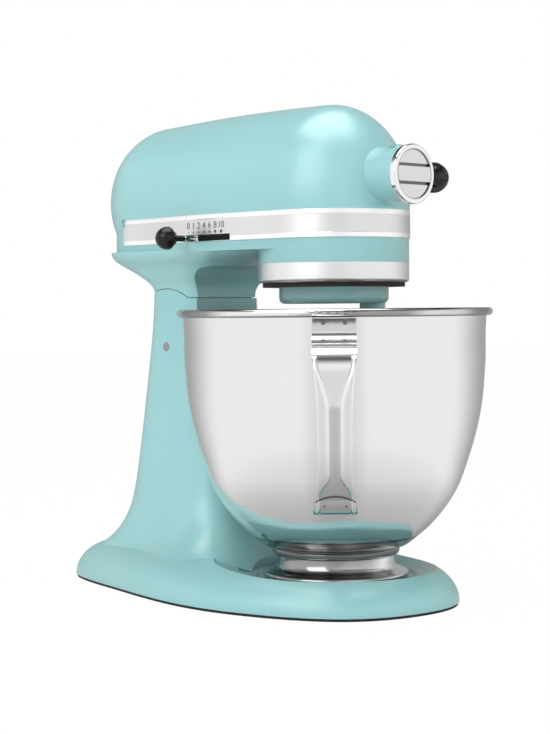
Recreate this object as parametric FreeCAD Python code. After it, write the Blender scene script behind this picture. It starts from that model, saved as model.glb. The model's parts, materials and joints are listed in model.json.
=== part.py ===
import FreeCAD, Part
import math
import os

# Tilt-head stand mixer. Millimetres, +Z up, front is -Y, origin on the table under the bowl axis.
V = FreeCAD.Vector
X_AXIS = V(1, 0, 0)
Y_AXIS = V(0, 1, 0)
Z_AXIS = V(0, 0, 1)

# Bowl
rim_r = 111.0
rim_z = 207.0
bowl_wall = 1.0
bowl_r = 106.3
bowl_floor_z = 39.0
bowl_neck_r = 43.0
foot_r = 51.5
handle_w = 28.7
handle_t = 5.0
handle_reach = 30.0
handle_turn = 224.0

# Base and pedestal
gasket_t = 2.0
base_front_r = 86.0
base_half_w = 93.0
base_rear_y = 247.0
base_top_z = 29.5
base_wall = 6.0
deck_z = 16.0
deck_r = 55.0
plate_r = 46.5
plate_t = 2.0
column_half_w = 33.0
column_rear_y = 167.0
column_front_y = 103.0
column_wall = 6.0
bowl_gap = 4.0
bolt_r = 3.0

# Tilt hinge
hinge_y = 142.0
hinge_z = 179.5
hinge_pin_r = 3.5
hump_r = 43.0
seam_gap = 0.5
seam_z = 216.0
tongue_half_w = 14.0
tilt_deg = 50.0
run_clear = 0.05

# Head
nose_r = 53.0
head_half_w = 55.5
tail_y = 163.0
tail_r = 49.0
split_z = 265.5
crown_front_z = 349.5
crown_rear_z = 346.0
dome_z = 292.0
shell_t = 3.0
arm_z = 238.5
band_low_z = 255.5
band_high_z = 274.5
band_end_y = 172.0
band_proud = 0.8
band_depth = 1.2
ring_low_z = 225.0
seal_low_z = 222.0

# Drive
drive_z = 297.0
gear_module = 1.5
centre_teeth = 36
pinion_teeth = 14
ring_teeth = 48
beater_teeth = 12
bevel_teeth = 16
bevel_r = 18.0
wheel_teeth = 20
wheel_module = 1.6
worm_pitch_r = 6.0
worm_root_r = 4.0
shaft_r = 5.0
rotor_r = 22.0
stator_r = 40.0
air_gap = 0.8
motor_y0 = 104.0
motor_len = 42.0

# Attachment hub
hub_bore_r = 12.75
hub_boss_r = 20.0
hub_face_y = -72.0
hub_depth = 32.0
hub_cover_t = 4.0
knob_y = -60.0
grip_r = 10.2

# Planetary
planet_r = 38.5
planet_low_z = 210.5
beater_r = 6.35
beater_low_z = 166.0
beater_turn = -45.0

# Speed lever
slot_y0 = 47.0
slot_len = 49.0
lever_z = 258.0
lever_r = 1.8
speed_travel = 44.0
lock_travel = 20.0
lever_knob_r = 8.8

os.makedirs("parts", exist_ok=True)
NODES = {}


def keep(name, *solids):
    shapes = [s for shape in solids for s in shape.Solids]
    NODES[name] = shapes[0] if len(shapes) == 1 else Part.makeCompound(shapes)


def cyl(r, length, start, axis=Z_AXIS):
    return Part.makeCylinder(r, length, V(*start), axis)


def tube(r_out, r_in, length, start, axis=Z_AXIS):
    return cyl(r_out, length, start, axis).cut(cyl(r_in, length, start, axis))


def block(x0, x1, y0, y1, z0, z1):
    return Part.makeBox(x1 - x0, y1 - y0, z1 - z0, V(x0, y0, z0))


def fused(first, *others):
    return first.fuse(list(others)).removeSplitter()


def spline(points, closed=False, **ends):
    curve = Part.BSplineCurve()
    curve.interpolate(Points=points, PeriodicFlag=closed, **ends)
    return curve.toShape()


def lines(points):
    return [Part.makeLine(a, b) for a, b in zip(points, points[1:])]


def arc_edge(a, b, way):
    # the arc from a to b that leaves a along the given way
    chord = b - a
    length = chord.Length
    along = way.dot(chord) / length
    side = way - chord * (along / length)
    if side.Length < 1e-6:
        return Part.makeLine(a, b)
    sag = 0.5 * length * (1 - along) / side.Length
    return Part.Arc(a, (a + b) * 0.5 + side.normalize() * sag, b).toShape()


def arc_run(points, start=None, end=None):
    # tangent arcs, two to each span, through the points
    spans = [b - a for a, b in zip(points, points[1:])]
    ways = [(c * (d.Length / c.Length) + d * (c.Length / d.Length)).normalize() for c, d in zip(spans, spans[1:])]
    first = V(spans[0]).normalize()
    last = V(spans[-1]).normalize()
    start = V(start).normalize() if start else first * (2 * first.dot(ways[0])) - ways[0]
    end = V(end).normalize() if end else last * (2 * last.dot(ways[-1])) - ways[-1]
    ways = [start] + ways + [end]
    edges = []
    for a, b, p, q in zip(points, points[1:], ways, ways[1:]):
        span = b - a
        both = span.dot(p + q)
        turn = 2 * (1 - p.dot(q))
        reach = span.dot(span) / (2 * both) if turn < 1e-9 else (
            (math.sqrt(both * both + turn * span.dot(span)) - both) / turn)
        middle = (a + b + (p - q) * reach) * 0.5
        edges.append(arc_edge(a, middle, p))
        edges.append(arc_edge(b, middle, -q))
    return edges


def face(edges):
    return Part.Face(Part.Wire(Part.sortEdges(edges)[0]))


def flat(points):
    return Part.Face(Part.makePolygon(points + points[:1]))


def turned(edges, centre=(0, 0, 0), axis=Z_AXIS, deg=360):
    return face(edges).revolve(V(*centre), axis, deg)


def spin(shape, deg, centre=(0, 0, 0), axis=Z_AXIS):
    copy = shape.copy()
    copy.rotate(V(*centre), axis, deg)
    return copy


def mirrored(shape):
    return shape.mirror(V(0, 0, 0), X_AXIS)


def rounded_rect(half_w, y0, y1, r, z):
    xs = [half_w - r, half_w]
    ys = [y0, y0 + r, y1 - r, y1]
    k = r * (1 - math.sqrt(0.5))
    return Part.Wire([
        Part.makeLine(V(-xs[0], ys[0], z), V(xs[0], ys[0], z)),
        Part.Arc(V(xs[0], ys[0], z), V(xs[1] - k, ys[0] + k, z), V(xs[1], ys[1], z)).toShape(),
        Part.makeLine(V(xs[1], ys[1], z), V(xs[1], ys[2], z)),
        Part.Arc(V(xs[1], ys[2], z), V(xs[1] - k, ys[3] - k, z), V(xs[0], ys[3], z)).toShape(),
        Part.makeLine(V(xs[0], ys[3], z), V(-xs[0], ys[3], z)),
        Part.Arc(V(-xs[0], ys[3], z), V(-xs[1] + k, ys[3] - k, z), V(-xs[1], ys[2], z)).toShape(),
        Part.makeLine(V(-xs[1], ys[2], z), V(-xs[1], ys[1], z)),
        Part.Arc(V(-xs[1], ys[1], z), V(-xs[1] + k, ys[0] + k, z), V(-xs[0], ys[0], z)).toShape(),
    ])


def tooth_wire(teeth, module, turn, z=0.0, inner=False, tip=0.135, root=0.335):
    # straight-flanked teeth, thinned so that a pair always runs with backlash
    pitch = 2 * math.pi / teeth
    radius = module * teeth / 2
    out = -1 if inner else 1
    r_root = radius - out * 1.3 * module
    r_tip = radius + out * 0.9 * module
    points = []
    for i in range(teeth):
        middle = math.radians(turn) + i * pitch
        for r, share in ((r_root, -root), (r_tip, -tip), (r_tip, tip), (r_root, root)):
            a = middle + share * pitch
            points.append(V(r * math.cos(a), r * math.sin(a), z))
    return Part.makePolygon(points + points[:1])


def spur(teeth, module, width, turn, at):
    gear = Part.Face(tooth_wire(teeth, module, turn)).extrude(V(0, 0, width))
    gear.translate(V(*at))
    return gear


# Base casting: a soft-edged plan that swells behind the bowl and narrows to the heel
def base_outline(inset, z):
    front = base_front_r - inset
    wide = base_half_w - inset
    heel = base_rear_y - inset
    diagonal = front * math.sqrt(0.5)
    half = [
        V(diagonal, -diagonal, z),
        V(0.93 * wide, -4, z),
        V(wide, 0.17 * heel, z),
        V(0.93 * wide, 0.42 * heel, z),
        V(0.78 * wide, 0.66 * heel, z),
        V(0.63 * wide, 0.87 * heel, z),
        V(0.45 * wide, 0.98 * heel, z),
    ]
    back = [V(-p.x, p.y, z) for p in reversed(half)]
    return Part.Wire(spline([V(0, -front, z)] + half + [V(0, heel, z)] + back, closed=True))


def base_body(inset, z0, z1):
    edge_inset = 36.0
    rise = base_top_z - gasket_t
    sections = []
    for deg in (0, 20, 40, 58, 74, 90):
        z = gasket_t + rise * math.sin(math.radians(deg))
        sections.append(base_outline(inset + edge_inset * (1 - math.cos(math.radians(deg))), z))
    body = Part.makeLoft(sections, True)
    return body.common(block(-200, 200, -200, 400, z0, z1))


dish = turned(lines([
    V(0, 0, deck_z),
    V(plate_r, 0, deck_z),
    V(plate_r, 0, deck_z + plate_t),
    V(deck_r, 0, deck_z + plate_t),
    V(deck_r + 2, 0, deck_z + plate_t + 2),
    V(base_front_r, 0, base_top_z - 1),
    V(base_front_r, 0, base_top_z + 9),
    V(0, 0, base_top_z + 9),
    V(0, 0, deck_z),
]))


# Column: soft-cornered sections that flare into the heel and the sides of the base
def column_section(z, inset):
    low = max(0.0, 1 - (z - base_top_z) / (rim_z - base_top_z))
    flare = low ** 11
    front = column_front_y - 19 * low - 22 * flare + inset
    rear = column_rear_y + 30 * low ** 1.2 + 22 * flare - inset
    front_w = column_half_w + 11 * low ** 1.5 + 20 * flare - inset
    rear_w = column_half_w + 6 * low ** 1.2 + 6 * flare - inset
    corner = 17 + 9 * low ** 2 - 0.6 * inset
    bevel = 0.29 * corner
    half = [
        V(front_w - corner, front, z),
        V(front_w - bevel, front + bevel, z),
        V(front_w, front + corner, z),
        V((front_w + rear_w) / 2, (front + rear) / 2, z),
        V(rear_w, rear - corner, z),
        V(rear_w - bevel, rear - bevel, z),
        V(rear_w - corner, rear, z),
    ]
    back = [V(-p.x, p.y, z) for p in reversed(half)]
    return Part.Wire(spline([V(0, front, z)] + half + [V(0, rear, z)] + back, closed=True))


def column_body(inset, z_low, z_high):
    steps = [(k / 8) ** 1.9 for k in range(9)]
    return Part.makeLoft([column_section(z_low + (z_high - z_low) * s, inset) for s in steps], True)


def bowl_outer(gap, z0):
    # the bowl's outer profile with room left round it, open at the top
    return [
        V(0, 0, z0),
        V(bowl_neck_r + 9 + gap, 0, z0),
        V(bowl_neck_r + 26 + gap, 0, bowl_floor_z + 19),
        V(bowl_r - 13 + gap, 0, bowl_floor_z + 58),
        V(bowl_r - 2 + gap, 0, bowl_floor_z + 112),
        V(rim_r + gap, 0, rim_z - 12),
        V(rim_r + gap, 0, rim_z + 60),
    ]


def bowl_clearance(extra=0.0):
    profile = bowl_outer(bowl_gap + extra, base_top_z)
    return turned(lines(profile + [V(0, 0, rim_z + 60), profile[0]]))


base = base_body(0, gasket_t, base_top_z + 1).cut(dish)
base_core = base_body(base_wall, gasket_t, base_top_z - base_wall)
deck_floor = deck_z - base_wall
base_core = base_core.cut(cyl(deck_r + 6, 40, (0, 0, deck_floor)))
base_core = base_core.cut(block(-200, 200, -200, base_front_r * 0.5, deck_floor, 60))
base = base.cut(base_core)

column_base_z = base_top_z - 12
column = column_body(0, column_base_z, rim_z + 30).cut(bowl_clearance())
column = column.cut(base_body(0, gasket_t, base_top_z + 1).cut(dish))
column = column.cut(cyl(deck_r + 5, 60, (0, 0, 0)))
column = max(column.Solids, key=lambda s: s.Volume)

# the seam of head and column: an arc about the hinge, level in front of it
hump = cyl(hump_r, 240, (-120, hinge_y, hinge_z), X_AXIS)
column_top = block(-99, 99, 0, 300, hinge_z, 400).cut(hump)
column_top = column_top.cut(block(-99, 99, 0, hinge_y, 0, seam_z - seam_gap))
column = column.cut(column_top)

# hollow from below, with bosses for the bolts
core_top_z = hinge_z - 24
column_core = column_body(column_wall, column_base_z - 2, rim_z + 30)
column_core = column_core.common(block(-200, 200, base_front_r + 8, 300, 0, core_top_z))
column_core = column_core.cut(bowl_clearance(column_wall))
boss_h = 26.0
bolt_spots = [(x, y) for x in (-27, 27) for y in (hinge_y - 24, hinge_y + 36)]
for x, y in bolt_spots:
    column_core = column_core.cut(cyl(3 * bolt_r, boss_h, (x, y, base_top_z)))
column = column.cut(column_core)

# a slot between the two cheeks, in which the tongue of the head swings
slot_half_w = tongue_half_w + 0.5
eye_r = 12.0
eye_gap = 1.0
swing = math.radians(90 - tilt_deg - 3)
slot = flat([
    V(0, hinge_y - eye_r, hinge_z),
    V(0, hinge_y, hinge_z),
    V(0, hinge_y + 60 * math.cos(swing), hinge_z + 60 * math.sin(swing)),
    V(0, hinge_y + 60 * math.cos(swing), 300),
    V(0, hinge_y - 22, 300),
    V(0, hinge_y - 22, hinge_z + 10),
]).extrude(V(2 * slot_half_w, 0, 0))
slot.translate(V(-slot_half_w, 0, 0))
slot = slot.fuse(cyl(eye_r + eye_gap, 2 * slot_half_w, (-slot_half_w, hinge_y, hinge_z), X_AXIS))
column = column.cut(slot)
pin_bore = cyl(hinge_pin_r, 240, (-120, hinge_y, hinge_z), X_AXIS)
column = column.cut(pin_bore)
set_screw_r = 2.0
set_screw = cyl(set_screw_r, 26, (slot_half_w + 8, hinge_y, hinge_z - hinge_pin_r - 26))
column = column.cut(set_screw)
for x, y in bolt_spots:
    hole = cyl(bolt_r, boss_h - 4 + base_wall, (x, y, base_top_z - base_wall))
    column = column.cut(hole)
    base = base.cut(hole)
keep("base", base)
keep("pedestal", max(column.Solids, key=lambda s: s.Volume))
keep("hinge_set_screw", set_screw)
pin = column_body(0, column_base_z, rim_z + 30).common(pin_bore)
keep("hinge_pin", pin)

# Underside: gasket, plate, feet and bolts
gasket = Part.Face(base_outline(0.8, 0)).cut(Part.Face(base_outline(5.5, 0))).extrude(V(0, 0, gasket_t))
keep("base_gasket", gasket)
under_t = 1.5
under = Part.Face(base_outline(base_wall + 0.6, gasket_t)).extrude(V(0, 0, under_t))
keep("base_plate", under)
foot_pad_r = 9.0
pads = [(x, y) for x in (-48, 48) for y in (-38, 150)] + [(0, 0), (0, 215)]
keep("rubber_feet", *[cyl(foot_pad_r, gasket_t, (x, y, 0)) for x, y in pads])
bolts = []
for x, y in bolt_spots:
    head_z = base_top_z - base_wall
    bolts.append(fused(cyl(bolt_r, boss_h - 4 + base_wall, (x, y, head_z)),
                       cyl(2 * bolt_r, 5, (x, y, head_z - 5))))
keep("pedestal_bolts", *bolts)

# Bowl plate with its bayonet tabs
plate_low = deck_z
plate_high = deck_z + plate_t
collar_r = 34.0
tab_r = 38.5
tab_deg = 36.0
lug_deg = 26.0
tab_z = plate_high + 4


def sector(r_out, r_in, z0, z1, middle, width):
    ring = tube(r_out, r_in, z1 - z0, (0, 0, z0))
    wedge = flat([V(0, 0, z0)] + [
        V(4 * r_out * math.cos(a), 4 * r_out * math.sin(a), z0)
        for a in (math.radians(middle - width / 2), math.radians(middle + width / 2))
    ]).extrude(V(0, 0, z1 - z0))
    return ring.common(wedge)


clamp = tube(plate_r, 20, plate_t, (0, 0, plate_low))
clamp = clamp.fuse(tube(collar_r, collar_r - 3, tab_z + 2 - plate_low, (0, 0, plate_low)))
lock_at = [handle_turn - 60 + 120 * i for i in range(3)]
clamp = clamp.fuse([sector(tab_r, collar_r - 1, tab_z, tab_z + 2, a, tab_deg) for a in lock_at])
screw_spots = [(26 * math.cos(a), 26 * math.sin(a)) for a in (0.5, 2.07, 3.64, 5.21)]
plate_screws = []
for x, y in screw_spots:
    shank = cyl(2.2, 8, (x, y, plate_low - 5))
    clamp = clamp.cut(shank)
    plate_screws.append(fused(shank, cyl(4, 2.4, (x, y, plate_high))))
    NODES["base"] = NODES["base"].cut(shank)
keep("bowl_plate", clamp.removeSplitter())
keep("plate_screws", *plate_screws)

# Bowl: spun shell with a rolled rim, pressed foot and strap handle
def moved(points, gap):
    # points pushed sideways off their own run, to the left of the way they go
    out = []
    for i, p in enumerate(points):
        run = points[min(i + 1, len(points) - 1)] - points[max(i - 1, 0)]
        out.append(p + V(-run.z, 0, run.x).normalize() * gap)
    return out


bead_r = 2.7
wall_run = [
    V(bowl_neck_r - 5, 0, bowl_floor_z),
    V(bowl_neck_r + 4, 0, bowl_floor_z + 1.2),
    V(bowl_neck_r + 17.6, 0, bowl_floor_z + 10.5),
    V(bowl_neck_r + 39.4, 0, bowl_floor_z + 36),
    V(bowl_r - 10.5, 0, bowl_floor_z + 69.6),
    V(bowl_r - 4.2, 0, bowl_floor_z + 95),
    V(bowl_r - 0.7, 0, bowl_floor_z + 129),
    V(bowl_r, 0, rim_z - 10),
    V(rim_r - bead_r - 1.4, 0, rim_z - 3),
]
wall_in = moved(wall_run, bowl_wall)
wall_in[0] = V(wall_run[0].x, 0, bowl_floor_z + bowl_wall)
wall_in[-1] = V(wall_run[-1].x - bowl_wall, 0, wall_run[-1].z)
level = V(1, 0, 0)
rise = V(0.1, 0, 1)
outer_wall = arc_run(wall_run, level, rise)
inner_wall = arc_run(wall_in, level, rise)
shell = turned([
    Part.makeLine(V(0, 0, bowl_floor_z), wall_run[0]),
    *outer_wall,
    Part.makeLine(wall_run[-1], wall_in[-1]),
    *inner_wall,
    Part.makeLine(wall_in[0], V(0, 0, bowl_floor_z + bowl_wall)),
    Part.makeLine(V(0, 0, bowl_floor_z + bowl_wall), V(0, 0, bowl_floor_z)),
])
rim = Part.makeTorus(rim_r - bead_r, bead_r, V(0, 0, rim_z - bead_r))
bowl_shell = fused(shell, rim)
bowl_full = turned([
    Part.makeLine(V(0, 0, bowl_floor_z), wall_run[0]),
    *outer_wall,
    Part.makeLine(wall_run[-1], V(0, 0, wall_run[-1].z)),
    Part.makeLine(V(0, 0, wall_run[-1].z), V(0, 0, bowl_floor_z)),
])
keep("bowl_shell", bowl_shell)

foot_low = plate_high
foot_run = [
    V(foot_r - 4, 0, foot_low),
    V(foot_r, 0, foot_low + 3.2),
    V(foot_r - 4, 0, foot_low + 6),
    V(bowl_neck_r, 0, foot_low + 8.2),
    V(bowl_neck_r - 2, 0, bowl_floor_z - 8),
    V(bowl_neck_r - 1.5, 0, bowl_floor_z - 2),
]
foot_in = [V(p.x - 1.6, 0, p.z) for p in foot_run]
foot_in[1] = V(foot_r - 2.2, 0, foot_low + 2.8)
foot_in[2] = V(foot_r - 5.5, 0, foot_low + 4.4)
foot_in[3] = V(bowl_neck_r - 2.2, 0, foot_low + 6.6)
bowl_foot = turned([
    *arc_run(foot_run, X_AXIS),
    Part.makeLine(foot_run[-1], foot_in[-1]),
    *arc_run(foot_in, X_AXIS + Z_AXIS),
    Part.makeLine(foot_in[0], foot_run[0]),
])
neck_bead = Part.makeTorus(bowl_neck_r - 1.2, 3.2, V(0, 0, bowl_floor_z - 1.5)).cut(bowl_full)
neck_bead = neck_bead.cut(cyl(bowl_neck_r - 3.2, 20, (0, 0, bowl_floor_z - 10)))
lugs = [sector(foot_r - 2.4, tab_r - 2.5, foot_low + 0.6, foot_low + 2.6, a, lug_deg) for a in lock_at]
bowl_foot = bowl_foot.fuse([neck_bead] + lugs).cut(bowl_full).removeSplitter()
keep("bowl_foot", bowl_foot)

strap_run = [
    V(bowl_r + 2.9, 0, rim_z - 6.5),
    V(bowl_r + 3.0, 0, rim_z - 20),
    V(bowl_r + 12, 0, rim_z - 25.5),
    V(bowl_r + handle_reach - 4, 0, rim_z - 27.5),
    V(bowl_r + handle_reach + 2, 0, rim_z - 40),
    V(bowl_r + handle_reach, 0, rim_z - 62),
    V(bowl_r + handle_reach - 8, 0, rim_z - 92),
    V(bowl_r + handle_reach - 22, 0, rim_z - 118),
    V(bowl_r + handle_reach - 38, 0, rim_z - 130),
    V(bowl_neck_r + 37, 0, rim_z - 133),
]
half_t = handle_t / 2
strap_out = moved(strap_run, half_t)
strap_in = moved(strap_run, -half_t)
strap = face([
    spline(strap_out),
    Part.makeLine(strap_out[-1], strap_in[-1]),
    spline(strap_in),
    Part.makeLine(strap_in[0], strap_out[0]),
]).extrude(V(0, handle_w, 0))
strap.translate(V(0, -handle_w / 2, 0))
waist = 0.5 * handle_w - 3.2
sides = []
for side in (-1, 1):
    sides.append(face([
        spline([V(0, side * waist, rim_z - 85), V(0, side * (waist + 0.9), rim_z - 50),
                V(0, side * handle_w / 2, rim_z - 27)]),
        Part.makeLine(V(0, side * handle_w / 2, rim_z - 27), V(0, side * handle_w, rim_z - 27)),
        Part.makeLine(V(0, side * handle_w, rim_z - 27), V(0, side * handle_w, rim_z - 132)),
        Part.makeLine(V(0, side * handle_w, rim_z - 132), V(0, side * handle_w / 2, rim_z - 132)),
        spline([V(0, side * handle_w / 2, rim_z - 132), V(0, side * (waist + 0.6), rim_z - 112),
                V(0, side * waist, rim_z - 85)]),
    ]).extrude(V(300, 0, 0)))
handle = strap.cut(sides).cut(bowl_full)
handle = max(handle.Solids, key=lambda s: s.Volume)
keep("bowl_handle", spin(handle, handle_turn))

# Head: one plan outline, a round nose on the bowl axis and a round tail
def plan_half_w(s, nose, tail, bulge):
    ease = s * s * (3 - 2 * s)
    return nose + (tail - nose) * ease + bulge * math.sin(math.pi * s) ** 2


def plan(offset, z):
    nose = nose_r + offset
    tail = tail_r + offset
    bulge = head_half_w - 0.5 * (nose_r + tail_r)
    steps = [k / 6 for k in range(7)]
    right = [V(plan_half_w(s, nose, tail, bulge), tail_y * s, z) for s in steps]
    left = [V(-p.x, p.y, z) for p in reversed(right)]
    return Part.Wire([
        Part.Arc(left[-1], V(0, -nose, z), right[0]).toShape(),
        spline(right, InitialTangent=Y_AXIS, FinalTangent=Y_AXIS),
        Part.Arc(right[-1], V(0, tail_y + tail, z), left[0]).toShape(),
        spline(left, InitialTangent=-Y_AXIS, FinalTangent=-Y_AXIS),
    ])


def plan_body(offset, z0, z1):
    return Part.Face(plan(offset, z0)).extrude(V(0, 0, z1 - z0))


def arch_half(y, foot_w, dome_w, top, low):
    rise = top - dome_z
    return spline([
        V(foot_w, y, low),
        V(dome_w, y, dome_z),
        V(0.81 * dome_w, y, dome_z + 0.56 * rise),
        V(0.45 * dome_w, y, dome_z + 0.885 * rise),
        V(0, y, top),
    ], FinalTangent=V(-1, 0, 0))


def dome_body(inset, low):
    bulge = head_half_w - 0.5 * (nose_r + tail_r)
    sections = []
    for k in range(7):
        s = k / 6
        y = tail_y * s
        foot_w = plan_half_w(s, nose_r, tail_r, bulge) - inset
        dome_w = plan_half_w(s, nose_r, nose_r, 0.7 * bulge) - inset
        top = crown_front_z + (crown_rear_z - crown_front_z) * s + 1.5 * math.sin(math.pi * s) - inset
        half = arch_half(y, foot_w, dome_w, top, low)
        other = mirrored(half)
        floor = Part.makeLine(V(-foot_w, y, low), V(foot_w, y, low))
        sections.append((half, other, floor, foot_w, top))
    middle = Part.makeLoft([Part.Wire([h, o, f]) for h, o, f, w, t in sections], True)
    ends = []
    for (half, other, floor, foot_w, top), y, deg in ((sections[0], 0, -180), (sections[-1], tail_y, 180)):
        ends.append(turned([
            half,
            Part.makeLine(V(0, y, top), V(0, y, low)),
            Part.makeLine(V(0, y, low), V(foot_w, y, low)),
        ], (0, y, 0), Z_AXIS, deg))
    return fused(middle, *ends)


groove = plan_body(20, band_low_z, band_high_z).cut(plan_body(-band_depth, band_low_z, band_high_z))
groove = groove.common(block(-99, 99, -99, band_end_y, 0, 400))
upper_outer = dome_body(0, split_z)
upper_inner = dome_body(shell_t, split_z - 0.01)
upper = upper_outer.cut(upper_inner).cut(groove)

# hub boss of the upper housing
boss_back_y = -28.0
bore_floor_y = hub_face_y + hub_depth
hub_shaft_r = 8.0
boss = cyl(hub_boss_r, boss_back_y - hub_face_y, (0, hub_face_y, drive_z), Y_AXIS)
upper = upper.cut(cyl(hub_boss_r - 1, 99, (0, hub_face_y - 50, drive_z), Y_AXIS)).fuse(boss)
# a soft flare from the dome to the boss, hollowed where the thumbscrew turns
flare_y = hub_face_y + 6
flare_back_y = boss_back_y - 15
flare_run = [
    V(hub_boss_r, flare_y, 0),
    V(hub_boss_r + 1.4, flare_y + 9, 0),
    V(hub_boss_r + 6.5, flare_y + 17, 0),
    V(hub_boss_r + 17, flare_back_y, 0),
]
flare = turned([
    Part.makeLine(V(0, flare_y, 0), flare_run[0]),
    *arc_run(flare_run, Y_AXIS),
    *lines([flare_run[-1], V(0, flare_back_y, 0), V(0, flare_y, 0)]),
], (0, 0, 0), Y_AXIS)
flare.translate(V(0, 0, drive_z))
flare = flare.common(block(-99, 99, -99, 0, band_high_z, 400)).cut(upper_inner)
flare = flare.cut(cyl(grip_r + 1, 60, (hub_boss_r, knob_y, drive_z), X_AXIS))
upper = upper.fuse(flare)
upper = upper.cut(cyl(hub_bore_r, hub_depth, (0, hub_face_y, drive_z), Y_AXIS))
upper = upper.cut(cyl(hub_shaft_r + run_clear, 30, (0, bore_floor_y, drive_z), Y_AXIS))
stud_r = 3.0
upper = upper.cut(cyl(stud_r + run_clear, 40, (hub_bore_r - 4, knob_y, drive_z), X_AXIS))
# the cover's hinge lies in the top of the boss, behind the cover
ear_y = hub_face_y + 3.0
ear_z = drive_z + hub_boss_r - 2.6
cover_pin_r = 1.0
ear_r = 2.4
ear_gap = 0.5
ear_w = 2.8
knuckle_half = 5.6
cover_gap = 0.3
cover_r = hub_boss_r + 0.3
knuckle_room = knuckle_half + ear_gap
swing_r = math.hypot(ear_y - hub_face_y + cover_gap + hub_cover_t, cover_r - ear_z + drive_z) + ear_gap
sweep = cyl(swing_r, 2 * cover_r, (-cover_r, ear_y, ear_z), X_AXIS)
sweep = sweep.common(block(-cover_r, cover_r, ear_y - 50, ear_y + 50, ear_z, ear_z + 50))
pocket = cyl(ear_r + ear_gap, 2 * knuckle_room, (-knuckle_room, ear_y, ear_z), X_AXIS)
front = block(-knuckle_room, knuckle_room, hub_face_y - 1, ear_y, ear_z - ear_r - ear_gap, ear_z + 20)
upper = upper.cut([sweep, pocket, front])
for x in (-knuckle_room - ear_w, knuckle_room):
    ear = cyl(ear_r, ear_w, (x, ear_y, ear_z), X_AXIS)
    ear = ear.fuse(block(x, x + ear_w, ear_y - ear_r, ear_y + ear_r, ear_z - 4.4, ear_z))
    upper = upper.fuse(ear)
upper = upper.cut(cyl(cover_pin_r, 30, (-15, ear_y, ear_z), X_AXIS))
upper = upper.removeSplitter()

# Lower housing: nose, arm and neck in one casting
lower = plan_body(0, band_low_z - 7, split_z)
nose = cyl(nose_r, band_low_z - arm_z, (0, 0, arm_z))
neck_top = band_low_z - 5
neck_runs = [
    (1.00, 40, tail_y + 46, 45, neck_top),
    (0.93, 58, tail_y + 41, 40, neck_top - 7),
    (0.82, 76, tail_y + 30, 33, neck_top - 12.5),
    (0.71, 92, tail_y + 14, 25, neck_top - 20),
]
sections = []
for share, y0, y1, corner, z in neck_runs:
    sections.append(rounded_rect(share * (head_half_w - 1), y0, y1, corner, z))
for z in (seam_z + 6, seam_z - 4, seam_z - 30):
    sections.append(rounded_rect(column_half_w + 0.2, column_front_y, column_rear_y + 0.2, 18, z))
neck = Part.makeLoft(sections, True)
scoop_r = rim_r + bowl_gap
scoop = turned([
    Part.makeLine(V(0, 0, 0), V(scoop_r, 0, 0)),
    Part.makeLine(V(scoop_r, 0, 0), V(scoop_r, 0, seam_z + 6)),
    *arc_run([V(scoop_r, 0, seam_z + 6), V(scoop_r - 5, 0, arm_z - 5), V(scoop_r - 22, 0, arm_z)],
             Z_AXIS, -X_AXIS),
    Part.makeLine(V(scoop_r - 22, 0, arm_z), V(0, 0, arm_z)),
    Part.makeLine(V(0, 0, arm_z), V(0, 0, 0)),
])
neck = neck.cut(scoop)
head_seam = block(-99, 99, 0, hinge_y, 0, seam_z)
head_seam = head_seam.fuse(cyl(hump_r + seam_gap, 240, (-120, hinge_y, hinge_z), X_AXIS))
head_seam = head_seam.fuse(block(-99, 99, hinge_y, 300, 0, hinge_z + 20))
neck = neck.cut(head_seam)
tongue = flat([
    V(0, hinge_y - eye_r, hinge_z),
    V(0, hinge_y, hinge_z),
    V(0, hinge_y, seam_z + 14),
    V(0, hinge_y - 21, seam_z + 14),
    V(0, hinge_y - 21, hinge_z + 12),
]).extrude(V(2 * tongue_half_w, 0, 0))
tongue.translate(V(-tongue_half_w, 0, 0))
tongue = tongue.fuse(cyl(eye_r, 2 * tongue_half_w, (-tongue_half_w, hinge_y, hinge_z), X_AXIS))
tongue = tongue.cut(cyl(hinge_pin_r + run_clear, 240, (-120, hinge_y, hinge_z), X_AXIS))
lower_outer = fused(lower, nose, neck)
floor_z = arm_z + 4.5
cavity = plan_body(-shell_t - 1, floor_z + 7, split_z + 1)
cavity = cavity.fuse(cyl(nose_r - shell_t - 1, 40, (0, 0, floor_z)).cut(block(-99, 99, 46, 99, 0, 400)))
lower = lower_outer.cut(cavity).cut(groove)

# rear cover: the end of the lower housing behind a slanting seam
cover_zone = flat([
    V(0, band_end_y + 6, split_z + 1),
    V(0, band_end_y + 6, band_low_z - 7),
    V(0, tail_y - 3, band_low_z - 22),
    V(0, tail_y - 3, 200),
    V(0, 300, 200),
    V(0, 300, split_z + 1),
]).extrude(V(240, 0, 0))
cover_zone.translate(V(-120, 0, 0))
rear_cover = lower.common(cover_zone)
lower = lower.cut(cover_zone).fuse(tongue)

# cradles and bearing walls inside
front_wall_y = 64.0
rear_wall_y = 184.0
wall_t = 6.0
bearing_r = 11.0
cradle_half_w = 34.0
inside = plan_body(-shell_t - 1, floor_z, split_z).fuse(block(-46, 46, 0, tail_y, split_z, 400))
inside = inside.common(dome_body(shell_t, split_z - 0.01).fuse(block(-99, 99, -99, 300, 0, split_z)))
cradles = []
for y, top in ((motor_y0 + 2, drive_z - 12), (motor_y0 + motor_len - 8, drive_z - 12)):
    cradle = block(-cradle_half_w, cradle_half_w, y, y + wall_t, floor_z, top)
    cradles.append(cradle.cut(cyl(stator_r, 300, (0, 0, drive_z), Y_AXIS)))
front_wall = block(-30, 30, front_wall_y, front_wall_y + wall_t, floor_z, drive_z + 15)
front_wall = front_wall.cut(cyl(bearing_r, 300, (0, 0, drive_z), Y_AXIS))
cradles.append(front_wall)
lower = lower.fuse([c.common(inside) for c in cradles])

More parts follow.
